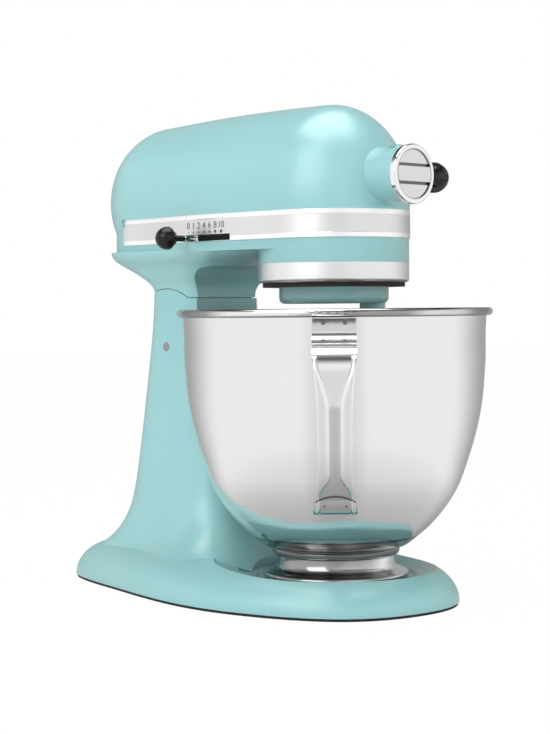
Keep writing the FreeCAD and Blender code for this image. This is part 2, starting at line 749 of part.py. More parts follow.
# bearing seat of the centre shaft, and the seat of the countershaft's lower bearing
seat_r = 15.0
counter_x = wheel_module * wheel_teeth / 2 + worm_pitch_r
gear_span = gear_module * (centre_teeth + pinion_teeth) / 2
counter_y = math.sqrt(gear_span ** 2 - counter_x ** 2)
lower = lower.fuse(cyl(seat_r, 7, (0, 0, arm_z)))
lower = lower.cut(cyl(11, 60, (0, 0, arm_z - 10)))
counter_seat_r = 7.0
lower = lower.cut(cyl(counter_seat_r, 6, (counter_x, counter_y, floor_z - 3)))

# lever slots on both sides, and screw holes into the bosses of the upper housing
slot_high = 2 * lever_r + 1.0
speed_slot = block(-99, -30, slot_y0, slot_y0 + slot_len, lever_z - slot_high / 2, lever_z + slot_high / 2)
lock_y0 = 70.0
lock_len = lock_travel + 2 * lever_r + 2.0
lock_slot = block(30, 99, lock_y0, lock_y0 + lock_len, lever_z - slot_high / 2, lever_z + slot_high / 2)
lower = lower.cut(speed_slot).cut(lock_slot)
screw_r = 2.0
screw_spots = [(x, y) for x in (-41.0, 41.0) for y in (14.0, 150.0)]
housing_screws = []
for x, y in screw_spots:
    pillar = cyl(5, split_z - floor_z, (x, y, floor_z)).common(inside)
    post = cyl(5, 34, (x, y, split_z)).common(upper_outer)
    shank = cyl(screw_r, 36, (x, y, split_z - 14))
    lower = lower.fuse(pillar).cut(shank)
    upper = upper.fuse(post).cut(shank)
    housing_screws.append(fused(shank, cyl(2 * screw_r, 3, (x, y, split_z - 14))))
    lower = lower.cut(cyl(2 * screw_r, 3, (x, y, split_z - 14)))
lower = lower.removeSplitter()
keep("upper_housing", max(upper.removeSplitter().Solids, key=lambda s: s.Volume))
keep("lower_housing", max(lower.Solids, key=lambda s: s.Volume))
keep("housing_screws", *housing_screws)

# rear cover with the rear bearing wall behind the motor
rear_wall = block(-30, 30, rear_wall_y, rear_wall_y + wall_t, floor_z + 7, drive_z + 14)
rear_wall = rear_wall.cut(cyl(bearing_r, 300, (0, 0, drive_z), Y_AXIS))
rear_cover = rear_cover.fuse(rear_wall)
cover_screw_z = split_z - 10
tail_end = tail_y + tail_r
cover_screw = fused(cyl(screw_r, 12, (0, tail_end - 11, cover_screw_z), Y_AXIS),
                    cyl(2 * screw_r, 1.6, (0, tail_end - 0.6, cover_screw_z), Y_AXIS))
screw_lug = block(-7, 7, tail_end - 13, tail_end - shell_t - 0.5, cover_screw_z - 5, split_z)
rear_cover = rear_cover.fuse(screw_lug.common(plan_body(-1, 0, 400))).cut(cover_screw)
keep("rear_cover", max(rear_cover.removeSplitter().Solids, key=lambda s: s.Volume))
keep("rear_cover_screw", cover_screw)

# trim band, nose ring and seal
band = plan_body(band_proud, band_low_z, band_high_z).cut(plan_body(-band_depth, band_low_z, band_high_z))
band = band.common(block(-99, 99, -99, band_end_y, 0, 400)).cut(speed_slot).cut(lock_slot)
keep("trim_band", band)
ring_bore_r = 41.0
edge_r = 2.5
nose_ring = turned([
    Part.makeLine(V(ring_bore_r, 0, ring_low_z), V(nose_r - edge_r, 0, ring_low_z)),
    Part.Arc(V(nose_r - edge_r, 0, ring_low_z),
             V(nose_r - edge_r * 0.29, 0, ring_low_z + edge_r * 0.29),
             V(nose_r, 0, ring_low_z + edge_r)).toShape(),
    Part.makeLine(V(nose_r, 0, ring_low_z + edge_r), V(nose_r, 0, arm_z)),
    Part.makeLine(V(nose_r, 0, arm_z), V(ring_bore_r, 0, arm_z)),
    Part.makeLine(V(ring_bore_r, 0, arm_z), V(ring_bore_r, 0, ring_low_z)),
])
keep("nose_ring", nose_ring)
keep("nose_seal", tube(nose_r - 3, planet_r + 1, ring_low_z - seal_low_z, (0, 0, seal_low_z)))

# Planetary and beater drive
beater_e = gear_module * (ring_teeth - beater_teeth) / 2
turn = math.radians(beater_turn)
beater_x = beater_e * math.cos(turn)
beater_y = beater_e * math.sin(turn)
ring_z = ring_low_z + 1.5
ring_w = 9.5
ring_inner = Part.Face(tooth_wire(ring_teeth, gear_module, beater_turn + 180 / ring_teeth, inner=True))
ring_gear = cyl(ring_bore_r, ring_w, (0, 0, 0)).cut(ring_inner.extrude(V(0, 0, ring_w)))
ring_gear.translate(V(0, 0, ring_z))
keep("ring_gear", ring_gear)
bearing_low_z = arm_z
bearing_high_z = arm_z + 7
keep("centre_bearing", tube(11, shaft_r + run_clear, bearing_high_z - bearing_low_z, (0, 0, bearing_low_z)))

planet_edge = 4.0
planet = turned([
    Part.makeLine(V(0, 0, planet_low_z), V(planet_r - planet_edge, 0, planet_low_z)),
    Part.Arc(V(planet_r - planet_edge, 0, planet_low_z),
             V(planet_r - 0.29 * planet_edge, 0, planet_low_z + 0.29 * planet_edge),
             V(planet_r, 0, planet_low_z + planet_edge)).toShape(),
    Part.makeLine(V(planet_r, 0, planet_low_z + planet_edge), V(planet_r, 0, seal_low_z + 2)),
    Part.makeLine(V(planet_r, 0, seal_low_z + 2), V(0, 0, seal_low_z + 2)),
    Part.makeLine(V(0, 0, seal_low_z + 2), V(0, 0, planet_low_z)),
])
beater_boss_r = 9.0
planet = planet.fuse(cyl(beater_boss_r, ring_z - planet_low_z + 8, (beater_x, beater_y, planet_low_z - 8)))
planet = planet.fuse(cyl(10, bearing_low_z - 0.5 - seal_low_z, (0, 0, seal_low_z)))
planet = planet.cut(cyl(beater_r + run_clear, 40, (beater_x, beater_y, planet_low_z - 20)))
planet = planet.cut(cyl(shaft_r, 60, (0, 0, planet_low_z + 2)))
keep("planetary_housing", planet.removeSplitter())
gear_z = floor_z + 7
gear_w = 8.0
bevel_z = drive_z - bevel_r
centre_shaft = cyl(shaft_r, bevel_z + 5 - planet_low_z - 2, (0, 0, planet_low_z + 2))
keep("centre_shaft", centre_shaft)
counter_turn = math.degrees(math.atan2(counter_y, counter_x))
centre_gear = spur(centre_teeth, gear_module, gear_w, counter_turn, (0, 0, gear_z))
centre_gear = centre_gear.fuse(cyl(10, gear_z - bearing_high_z - 0.2, (0, 0, bearing_high_z + 0.2)))
centre_gear = centre_gear.fuse(cyl(10, bevel_z - 7 - gear_z, (0, 0, gear_z)))
keep("centre_gear", centre_gear.cut(cyl(shaft_r, 200, (0, 0, 150))).removeSplitter())


def bevel(turn, bore):
    # teeth run towards the crossing point of the two axes, at the origin
    module = 2 * bevel_r / bevel_teeth
    wires = []
    for share in (1.0, 0.68):
        wires.append(tooth_wire(bevel_teeth, share * module, turn, -share * bevel_r, tip=0.13, root=0.31))
    gear = Part.makeLoft(wires, True, True)
    gear = gear.fuse(cyl(0.72 * bevel_r, 7, (0, 0, -bevel_r - 7)))
    return gear.cut(cyl(bore, 99, (0, 0, -60))).removeSplitter()


centre_bevel = bevel(-90, shaft_r)
centre_bevel.translate(V(0, 0, drive_z))
keep("centre_bevel_gear", centre_bevel)
hub_bevel = spin(bevel(-90 + 180 / bevel_teeth, hub_shaft_r - 2), -90, (0, 0, 0), X_AXIS)
hub_bevel.translate(V(0, 0, drive_z))
keep("hub_bevel_gear", hub_bevel)
square = 9.6
socket_deep = 15.0
hub_shaft = cyl(hub_shaft_r, -bevel_r - 7 - bore_floor_y, (0, bore_floor_y, drive_z), Y_AXIS)
hub_shaft = hub_shaft.fuse(cyl(hub_shaft_r - 2, 12, (0, -bevel_r - 8, drive_z), Y_AXIS))
half = square / 2
hub_shaft = hub_shaft.cut(block(-half, half, bore_floor_y, bore_floor_y + socket_deep,
                                drive_z - half, drive_z + half))
keep("hub_drive_socket", hub_shaft.removeSplitter())

spindle_r = 4.5
beater_shaft = cyl(beater_r, ring_z - beater_low_z, (beater_x, beater_y, beater_low_z))
beater_shaft = beater_shaft.fuse(cyl(spindle_r, ring_w + 0.5, (beater_x, beater_y, ring_z)))
pin_z = beater_low_z + 20
neck_gap = cyl(beater_r + 1, 8, (beater_x, beater_y, pin_z - 4)).cut(
    cyl(beater_r - 0.4, 8, (beater_x, beater_y, pin_z - 4)))
beater_shaft = beater_shaft.cut(neck_gap)
drive_pin = cyl(2, 21, (beater_x - 10.5, beater_y, pin_z), X_AXIS)
drive_pin = spin(drive_pin, beater_turn + 90, (beater_x, beater_y, 0))
keep("beater_shaft", beater_shaft.cut(drive_pin).removeSplitter())
keep("beater_pin", drive_pin)
beater_pinion = spur(beater_teeth, gear_module, ring_w - 0.4, beater_turn, (beater_x, beater_y, ring_z + 0.4))
keep("beater_pinion", beater_pinion.cut(cyl(spindle_r, 99, (beater_x, beater_y, 200))))

# Countershaft with worm wheel and pinion
counter_r = 4.0
bracket_z = drive_z + 15
bracket_t = 5.0
seat_z = floor_z - 3
counter_at = (counter_x, counter_y)
wheel_w = 8.0
keep("counter_shaft", cyl(counter_r, bracket_z + 4 - seat_z - 1, (*counter_at, seat_z + 1)))
wheel = spur(wheel_teeth, wheel_module, wheel_w, 0, (*counter_at, drive_z - wheel_w / 2))
keep("worm_wheel", wheel.cut(cyl(counter_r, 99, (*counter_at, 250))))
pinion_turn = counter_turn + 180 + 180 / pinion_teeth
pinion = spur(pinion_teeth, gear_module, gear_w, pinion_turn, (*counter_at, gear_z))
pinion = pinion.fuse(cyl(7, drive_z - wheel_w / 2 - gear_z, (*counter_at, gear_z)))
keep("counter_pinion", pinion.cut(cyl(counter_r, 99, (*counter_at, 200))).removeSplitter())
counter_bearing = tube(counter_seat_r, counter_r + run_clear, 6, (*counter_at, seat_z))
top_bearing = tube(counter_seat_r, counter_r + run_clear, bracket_t, (*counter_at, bracket_z))
keep("counter_bearings", counter_bearing, top_bearing)
bracket = block(-8, counter_x + 12, counter_y - 12, front_wall_y + wall_t, bracket_z, bracket_z + bracket_t)
keep("gear_bracket", bracket.cut(cyl(counter_seat_r, 99, (*counter_at, 250))))

# Motor
motor_y1 = motor_y0 + motor_len
shaft_y0 = 15.0
shaft_y1 = rear_wall_y + wall_t
keep("armature_shaft", cyl(worm_root_r - 0.5, shaft_y1 - shaft_y0 - 1, (0, shaft_y0, drive_z), Y_AXIS))
motor_shaft_r = worm_root_r - 0.5
keep("worm", tube(worm_root_r, motor_shaft_r, front_wall_y - 5 - shaft_y0, (0, shaft_y0, drive_z), Y_AXIS))
core = tube(rotor_r, motor_shaft_r, motor_len, (0, motor_y0, drive_z), Y_AXIS)
slot_w = 2.4
for i in range(12):
    cut = block(-slot_w / 2, slot_w / 2, motor_y0, motor_y1, drive_z + rotor_r - 9, drive_z + rotor_r + 2)
    core = core.cut(spin(cut, 30 * i, (0, 0, drive_z), Y_AXIS))
keep("rotor_core", core)
comm_y = motor_y1 + 14
comm_r = 12.0
keep("commutator", tube(comm_r, motor_shaft_r, 14, (0, comm_y, drive_z), Y_AXIS))
fan_y = front_wall_y + wall_t + 12
fan_r = 31.0
fan = tube(9, motor_shaft_r, 12, (0, fan_y, drive_z), Y_AXIS)
fan = fan.fuse(tube(fan_r, motor_shaft_r, 2, (0, fan_y + 10, drive_z), Y_AXIS))
blade = block(-0.8, 0.8, fan_y, fan_y + 11, drive_z + 7, drive_z + fan_r - 1)
fan = fan.fuse([spin(blade, 40 * i, (0, 0, drive_z), Y_AXIS) for i in range(9)])
keep("cooling_fan", fan.removeSplitter())
seats = [(front_wall_y, 1), (rear_wall_y, 1)]
keep("motor_bearings", *[
    tube(bearing_r, motor_shaft_r + run_clear, wall_t, (0, y, drive_z), Y_AXIS) for y, n in seats
])


def ring_part(r_out, r_in, y0, y1, middle, width):
    part = sector(r_out, r_in, y0, y1, middle, width)
    part = spin(part, -90, (0, 0, 0), X_AXIS)
    part.translate(V(0, 0, drive_z))
    return part


yoke_r = 34.0
stator = tube(stator_r, yoke_r, motor_len, (0, motor_y0, drive_z), Y_AXIS)
poles = [ring_part(yoke_r + 1, rotor_r + air_gap, motor_y0, motor_y1, a, 100) for a in (0, 180)]
keep("motor_stator", stator.fuse(poles).removeSplitter())
coils = []
coil_end = 7.0
for a in (0, 180):
    turns = [ring_part(yoke_r - 0.5, rotor_r + 2, y, y + coil_end, a, 160)
             for y in (motor_y0 - coil_end, motor_y1)]
    turns += [ring_part(yoke_r, rotor_r + 2, motor_y0 - 1, motor_y1 + 1, a + side * 65, 26) for side in (-1, 1)]
    coils.append(fused(*turns))
keep("field_windings", *coils)
plate_y = comm_y + 16
brush_ring = tube(yoke_r, comm_r + 1.5, 3, (0, plate_y, drive_z), Y_AXIS)
post_x = 30.0
post_z = 21.0
posts = [cyl(2.5, plate_y - motor_y1 + 1, (x, motor_y1, drive_z + z), Y_AXIS)
         for x in (-post_x, post_x) for z in (-post_z, post_z)]
keep("brush_plate", fused(brush_ring, *posts))
holders = []
brushes = []
brush_r = comm_r + 0.05
for side in (-1, 1):
    x0, x1 = sorted((side * (comm_r + 3), side * 32))
    tunnel = block(x0, x1, comm_y + 3, plate_y, drive_z - 6, drive_z + 6)
    bore = block(x0, x1, comm_y + 4.5, plate_y - 3, drive_z - 4, drive_z + 4)
    holders.append(tunnel.cut(bore))
    b0, b1 = sorted((side * (brush_r - 3), side * 28))
    carbon = block(b0, b1, comm_y + 4.5, plate_y - 3, drive_z - 4, drive_z + 4)
    brushes.append(carbon.cut(cyl(brush_r, 99, (0, comm_y - 9, drive_z), Y_AXIS)))
keep("brush_holders", *holders)
keep("carbon_brushes", *brushes)


# Levers: a rod through the slot, a slider inside and a knob outside
def lever_knob(r, x0, length):
    neck_r = 0.62 * r
    neck_l = 0.26 * length
    dome = arc_run([
        V(x0 + neck_l, 0, r),
        V(x0 + 0.62 * length, 0, 0.98 * r),
        V(x0 + 0.9 * length, 0, 0.62 * r),
        V(x0 + length, 0, 0),
    ], end=-Z_AXIS)
    return turned(lines([
        V(x0 + length, 0, 0), V(x0, 0, 0), V(x0, 0, neck_r), V(x0 + neck_l, 0, neck_r),
        V(x0 + neck_l, 0, r),
    ]) + dome, (0, 0, 0), X_AXIS)


slide_w = head_half_w - shell_t - 2.6
knob_x = head_half_w + band_proud + 2.2


def lever(y, knob_r, knob_len):
    slider = block(slide_w - 3.5, slide_w, y - 6, y + 6, lever_z - 5, lever_z + 5)
    rod = cyl(lever_r, knob_x + 6 - slide_w + 1, (slide_w - 1, y, lever_z), X_AXIS)
    knob = lever_knob(knob_r, knob_x, knob_len)
    knob.translate(V(0, y, lever_z))
    return fused(slider, rod), knob.cut(rod)


def guide(y0, y1):
    return block(slide_w - 6, slide_w - 4, y0, y1, gear_z, lever_z + 10)


speed_y = slot_y0 + slot_len - lever_r - 1
speed_arm, speed_knob = lever(speed_y, lever_knob_r, 24)
keep("speed_lever", mirrored(speed_arm))
keep("speed_knob", mirrored(speed_knob))
keep("speed_plate", mirrored(guide(slot_y0 - 10, slot_y0 + slot_len + 10)))
lock_arm, lock_knob = lever(lock_y0 + lever_r + 1, 0.8 * lever_knob_r, 19)
keep("lock_lever", lock_arm)
keep("lock_knob", lock_knob)
keep("lock_guide", guide(lock_y0 - 10, lock_y0 + lock_len + 10))

# Hub cover on its pin, and the thumbscrew
cover_y = hub_face_y - cover_gap
cover = turned([
    Part.makeLine(V(0, cover_y, 0), V(cover_r, cover_y, 0)),
    Part.makeLine(V(cover_r, cover_y, 0), V(cover_r, cover_y - hub_cover_t + 1.2, 0)),
    Part.Arc(V(cover_r, cover_y - hub_cover_t + 1.2, 0),
             V(cover_r - 0.35, cover_y - hub_cover_t + 0.35, 0),
             V(cover_r - 1.2, cover_y - hub_cover_t, 0)).toShape(),
    Part.makeLine(V(cover_r - 1.2, cover_y - hub_cover_t, 0), V(0, cover_y - hub_cover_t, 0)),
    Part.makeLine(V(0, cover_y - hub_cover_t, 0), V(0, cover_y, 0)),
], (0, 0, 0), Y_AXIS)
cover.translate(V(0, 0, drive_z))
bar_half = 5.2
recess = cyl(cover_r - 3.6, 0.9, (0, cover_y - hub_cover_t, drive_z), Y_AXIS)
recess = recess.cut(block(-99, 99, -99, 0, drive_z - bar_half, drive_z + bar_half))
cover = cover.cut(recess)
channel = cyl(cover_r - 3.6, 1.9, (0, cover_y - hub_cover_t, drive_z), Y_AXIS)
channel = channel.common(block(-99, 99, -99, 0, drive_z - bar_half - 1.8, drive_z + bar_half + 1.8))
channel = channel.cut(block(-99, 99, -99, 0, drive_z - bar_half, drive_z + bar_half))
cover = cover.cut(channel)
arm = block(-knuckle_half, knuckle_half, cover_y - 1, ear_y, ear_z - ear_r + 0.2, ear_z + 1.6)
knuckle = cyl(ear_r - 0.2, 2 * knuckle_half, (-knuckle_half, ear_y, ear_z), X_AXIS)
cover = cover.fuse([arm, knuckle])
cover = cover.cut(cyl(cover_pin_r + run_clear, 30, (-15, ear_y, ear_z), X_AXIS))
keep("hub_cover", cover.removeSplitter())
pin_half = knuckle_room + ear_w
keep("hub_cover_pin", cyl(cover_pin_r, 2 * pin_half, (-pin_half, ear_y, ear_z), X_AXIS))
stud_x0 = hub_bore_r + 0.4
stud_x1 = hub_boss_r + 10
stud = cyl(stud_r, stud_x1 - stud_x0, (stud_x0, knob_y, drive_z), X_AXIS)
grip_x = hub_boss_r + 2
grip = turned([
    *lines([V(grip_x + 26, 0, 0), V(grip_x, 0, 0), V(grip_x, 0, 6.2), V(grip_x + 6, 0, 6.2)]),
    *arc_run([V(grip_x + 6, 0, 6.2), V(grip_x + 11, 0, 0.94 * grip_r), V(grip_x + 19, 0, grip_r),
              V(grip_x + 24.5, 0, 0.62 * grip_r), V(grip_x + 26, 0, 0)], end=-Z_AXIS),
], (0, 0, 0), X_AXIS)
for i in range(6):
    flute = cyl(3.2, 30, (grip_x + 6, 0, grip_r + 1.8), X_AXIS)
    grip = grip.cut(spin(flute, 60 * i + 30, (0, 0, 0), X_AXIS))
grip.translate(V(0, knob_y, drive_z))
keep("hub_knob", grip.cut(stud))
keep("hub_stud", stud)

for name, shape in NODES.items():
    shape.exportStep("parts/" + name + ".step")
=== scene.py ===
import json
import math

import bpy
from mathutils import Matrix, Vector
from mathutils.bvhtree import BVHTree


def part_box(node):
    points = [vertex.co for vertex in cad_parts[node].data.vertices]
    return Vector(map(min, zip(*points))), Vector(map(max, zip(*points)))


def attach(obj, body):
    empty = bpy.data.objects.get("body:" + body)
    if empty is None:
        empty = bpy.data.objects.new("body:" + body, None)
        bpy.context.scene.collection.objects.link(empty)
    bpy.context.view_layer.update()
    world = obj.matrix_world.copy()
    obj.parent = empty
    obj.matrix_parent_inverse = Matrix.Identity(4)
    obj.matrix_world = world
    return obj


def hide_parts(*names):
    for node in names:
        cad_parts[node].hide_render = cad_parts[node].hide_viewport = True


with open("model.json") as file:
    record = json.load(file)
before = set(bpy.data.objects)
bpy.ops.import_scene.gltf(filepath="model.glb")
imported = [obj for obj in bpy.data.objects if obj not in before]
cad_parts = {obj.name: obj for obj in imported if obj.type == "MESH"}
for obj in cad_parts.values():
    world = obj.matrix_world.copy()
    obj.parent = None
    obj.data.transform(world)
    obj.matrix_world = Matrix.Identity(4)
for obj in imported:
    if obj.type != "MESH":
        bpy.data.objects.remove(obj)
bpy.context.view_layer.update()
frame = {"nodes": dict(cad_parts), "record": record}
nodes = frame["nodes"]
scene = bpy.context.scene

# Lengths are in metres. The bowl's axis is the Z axis, and the nose of the head points to -Y.

# Camera of the photograph: it stands at the front left, at the height of the bowl's rim
IMAGE_W = 550
IMAGE_H = 734
FOCAL_PX = 1800.0
SENSOR_MM = 36.0
AXIS_DISTANCE = 1.268
AXIS_PX = 334.5         # column of the bowl's axis
HORIZON_PX = 309.0      # row of the horizon
EYE_Z = 0.207
VIEW_DEG = 45.97        # how far round from the front the camera stands
ROLL_DEG = 0.5
VIEW_TURN = math.radians(VIEW_DEG)
TO_CAMERA = Vector((-math.sin(VIEW_TURN), -math.cos(VIEW_TURN), 0))

# Studio: floor and walls are white to the eye, and darker in places where mirrors show them
FLOOR_HALF = 6.0
FLOOR_PAINT = 0.93
FLOOR_WHITE = 0.985     # share of plain white in what the floor shows
FLOOR_DARK = 0.5        # round the base, from FLOOR_NEAR out to FLOOR_REACH
FLOOR_NEAR = 0.05
FLOOR_REACH = 0.3
BACK_DARK = 0.4         # behind the object, between these cosines from the camera's side
BACK_FULL = -0.95
BACK_END = -0.1
FRONT_DARK = 0.8        # round the camera's own place
FRONT_START = 0.9
WALL_DARK = 0.1         # a band of the walls, by the sine of its height
WALL_HEIGHT = 0.72
WALL_BAND = 0.28
WORLD_LEVEL = 0.5

# Soft panels: name, place, target, width, height, watts, and whether mirrors show the panel
MIDDLE = (0, 0.05, 0.19)
PANELS = (
    ("key_left", (-1.7, -0.1, 1.3), MIDDLE, 1.4, 1.4, 15, True),
    ("top", (-0.1, 0.1, 1.9), MIDDLE, 1.6, 1.6, 23, True),
    ("low_left", (-1.3, -1.0, 0.14), (0, 0, 0.24), 1.2, 0.25, 5, False),
    ("front_right", (0.7, -1.7, 0.9), MIDDLE, 1.0, 1.4, 9, False),
)

# Colours
BLACK = (0.0, 0.0, 0.0)
WHITE = (1.0, 1.0, 1.0)
ENAMEL_COLOR = (0.25, 0.505, 0.515)
BOWL_COLOR = (0.83, 0.83, 0.825)
STRAP_COLOR = (0.86, 0.86, 0.855)
TRIM_COLOR = (0.87, 0.87, 0.87)
BAND_COLOR = (0.78, 0.78, 0.775)
COVER_COLOR = (0.88, 0.88, 0.885)
CHROME_LOW = (0.80, 0.80, 0.80)
CHROME_HIGH = (0.86, 0.86, 0.86)
GLOSS_LOW = (0.004, 0.004, 0.004)
GLOSS_HIGH = (0.008, 0.008, 0.008)

# Polished beads of the bowl, from low to high: rim, neck and foot, with painted dark reflections
BEADS = ((0.2016, 0.207), (0.0395, 0.0485), (0.018, 0.0385))
BEAD_EDGE = 0.45        # share of the half width where the painted dark reflection at the edge starts
BEAD_FADE = 0.0005

# Bowl handle: a strap with a pressed channel, a top shelf and a foot plate
HANDLE_DEG = 224.0
STRAP_HALF_W = 0.0143
STRAP_EDGE_W = 0.002
SHELF_Z = 0.1775
SHELF_FADE = 0.004
CHANNEL_TOP_Z = 0.176
CHANNEL_MID_Z = 0.143
CHANNEL_FADE = 0.004
CHANNEL_TOP_W = 0.0085
CHANNEL_LOW_Z = 0.101
CHANNEL_FOOT_Z = 0.086
CHANNEL_LOW_W = 0.0075
CHANNEL_HALF_W = 0.0023
CHANNEL_DEPTH = 0.0016
VALLEY_SHARE = 0.25     # shares of the ridge's width, from the channel outwards, where the valley and creases get painted shade
CREASE_SHARE = 0.06
CREASE_REACH = 0.05
PLATE_TOP_Z = 0.0835
PLATE_KICK = 420.0
# the slot is a bowed line of painted shade
SLOT_Z = 0.0862
SLOT_BOW = 24.0
SLOT_HALF_W = 0.0003
SLOT_REACH = 0.0011

# Weld dimples of the handle: name, height and radius of each pair
WELD_R = 0.0015
WELDS = (("weld_high", 0.198, WELD_R), ("weld_low", 0.079, 0.6 * WELD_R))
WELD_SPREAD = 0.0071
WELD_LIFT = 0.0001
BOWL_OUTSIDE = 0.3      # a radius well outside the bowl's handle

# Band with its two rails and the printed speed scale
RAIL_W = 0.0036
RAIL_FADE = 0.0007
SCALE_LABELS = ("0", "1", "2", "4", "6", "8", "10")
SCALE_FIRST_Y = 0.0907
SCALE_LAST_Y = 0.0556
SCALE_Z = 0.2667
SCALE_DOT_Z = 0.2622
DIGIT_H = 0.0046
DIGIT_SHARE = 0.7       # height of a digit as a share of the font's size
DOT_R = 0.0004
DOT_GROWTH = 0.0009     # how much larger the last dot is than the first
DOT_SIDES = 20
PRINT_LIFT = 0.00012
BAND_OUTSIDE = -0.2     # a place well outside the band's left side

# Hub cover: a plate with two channels inside a bright rim
HUB_Z = 0.297
HUB_PLATE_R = 0.0167
HUB_PLATE_FADE = 0.0006
HUB_CHANNEL = 0.0061
HUB_CHANNEL_HALF_W = 0.0007
HUB_CHANNEL_REACH = 0.0014
HUB_RING_HALF_W = 0.0002
HUB_RING_REACH = 0.0008

# Lever knobs: distance behind the dome and radius along each smooth stretch, in cap radii
KNOB_SIDES = 48
KNOB_SHARE = 0.45       # radius of the cap over the height of the node that it replaces
DOME_DEPTH = 1.1
DOME_DEGREES = range(2, 92, 8)
KNOB_RUNS = (
    ((0.0, 1.0), (0.06, 0.98), (0.09, 0.93)),       # lip
    ((0.09, 0.93), (0.09, 0.66)),                   # flat back
    ((0.09, 0.66), (0.55, 0.64), (0.62, 0.58)),     # collar
    ((0.62, 0.58), (0.62, 0.27)),                   # back of the collar
)

# Webs between the column's toe and the base: half width, depth and top of each corner
TOE_CORNERS = ((0.054, 0.0532, 0.0238), (0.046, 0.0502, 0.0228), (0.034, 0.0472, 0.0214))
TOE_FOOT_Z = 0.012
TOE_FACES = [[0, 1, 4, 3], [1, 2, 5, 4]]

# Places of the colour sockets on a mix node, which has a set of sockets for each kind of data
MIX_FACTOR, MIX_FIRST, MIX_SECOND, MIX_RESULT = 0, 6, 7, 2


class Tree:
    # a node tree of a material or of the world, with short ways to add nodes
    def __init__(self, block):
        block.use_nodes = True
        self.block = block
        self.nodes = block.node_tree.nodes
        self.links = block.node_tree.links
        self.shader = self.nodes.get("Principled BSDF")

    def put(self, socket, value):
        if isinstance(value, bpy.types.NodeSocket):
            self.links.new(value, socket)
        else:
            socket.default_value = value

    def fill(self, node, sockets):
        for name, value in sockets.items():
            self.put(node.inputs[name.replace("_", " ")], value)

    def add(self, kind, **sockets):
        node = self.nodes.new(kind)
        self.fill(node, sockets)
        return node

    def set(self, **sockets):
        self.fill(self.shader, sockets)

    def work(self, kind, operation, values):
        node = self.nodes.new(kind)
        node.operation = operation
        for socket, value in zip(node.inputs, values):
            self.put(socket, value)
        return node.outputs

    def vector(self, operation, *values):
        return self.work("ShaderNodeVectorMath", operation, values)

    def math(self, operation, *values):
        return self.work("ShaderNodeMath", operation, values)["Value"]

    def plus(self, a, b):
        return self.math("ADD", a, b)

    def minus(self, a, b):
        return self.math("SUBTRACT", a, b)

    def times(self, a, b):
        return self.math("MULTIPLY", a, b)

    def most(self, a, b):
        return self.math("MAXIMUM", a, b)

    def square(self, a):
        return self.math("POWER", a, 2.0)

    def size(self, a):
        return self.math("ABSOLUTE", a)

    def away(self, a, b):
        # how far apart two values are
        return self.size(self.minus(a, b))

    def clamped(self, value):
        return self.add("ShaderNodeClamp", Value=value).outputs["Result"]

    def spread(self, factor, low, high):
        # from low to high while the factor goes from 0 to 1
        node = self.add("ShaderNodeMapRange", Value=factor, To_Min=low, To_Max=high)
        return node.outputs["Result"]

    def ramp(self, value, start, end, low, high):
        # an eased step from low to high while the value goes from start to end
        node = self.add("ShaderNodeMapRange", Value=value, From_Min=start, From_Max=end,
                        To_Min=low, To_Max=high)
        node.interpolation_type = "SMOOTHSTEP"
        return node.outputs["Result"]

    def place(self):
        return self.add("ShaderNodeTexCoord").outputs["Object"]

    def axes(self, where=None):
        return self.add("ShaderNodeSeparateXYZ", Vector=where or self.place()).outputs

    def noise(self, scale, detail=2.0):
        node = self.add("ShaderNodeTexNoise", Vector=self.place(), Scale=scale, Detail=detail)
        return node.outputs["Fac"]

    def streaks(self, along, scale):
        # fine lines that lie square to the given coordinate
        node = self.add("ShaderNodeTexNoise", Scale=scale, Detail=3.0)
        node.noise_dimensions = "1D"
        self.put(node.inputs["W"], along)
        return node.outputs["Fac"]

    def tint(self, factor, first, second):
        node = self.nodes.new("ShaderNodeMix")
        node.data_type = "RGBA"
        self.put(node.inputs[MIX_FACTOR], factor)
        self.put(node.inputs[MIX_FIRST], (*first, 1))
        self.put(node.inputs[MIX_SECOND], (*second, 1))
        return node.outputs[MIX_RESULT]

    def bump(self, height, strength, distance):
        node = self.add("ShaderNodeBump", Strength=strength, Distance=distance, Height=height)
        self.set(Normal=node.outputs["Normal"])

    def blend(self, factor, first, second, target):
        # two shaders mixed into the tree's output
        mix = self.nodes.new("ShaderNodeMixShader")
        for socket, value in zip(mix.inputs, (factor, first.outputs[0], second.outputs[0])):
            self.put(socket, value)
        self.put(self.nodes[target].inputs[0], mix.outputs[0])


def material(name):
    return Tree(bpy.data.materials.new(name))


def shade(color, factor):
    return tuple(c * factor for c in color)


# Materials
def enamel():
    t = material("gloss_enamel")
    low, high = shade(ENAMEL_COLOR, 0.97), shade(ENAMEL_COLOR, 1.03)
    t.set(Base_Color=t.tint(t.noise(9.0), low, high))
    t.set(Roughness=t.spread(t.noise(60.0), low=0.4, high=0.46))
    t.set(Coat_Weight=1.0, Coat_Roughness=0.26)
    t.bump(t.noise(1100.0, detail=1.0), strength=0.06, distance=0.0004)
    return t.block


def painted_bead_reflection(t, z, painted_reflection_patch, low, high):
    # painted reflection on a polished bead: dark at both edges, brighter and darker in turns
    # between
    half = 0.5 * (high - low)
    off = t.away(z, low + half)
    painted_dark_edge = t.ramp(off, BEAD_EDGE * half, half, low=0.0, high=0.85)
    inside = t.ramp(off, half, half + BEAD_FADE, low=1.0, high=0.0)
    return t.times(inside, t.most(painted_reflection_patch, painted_dark_edge))


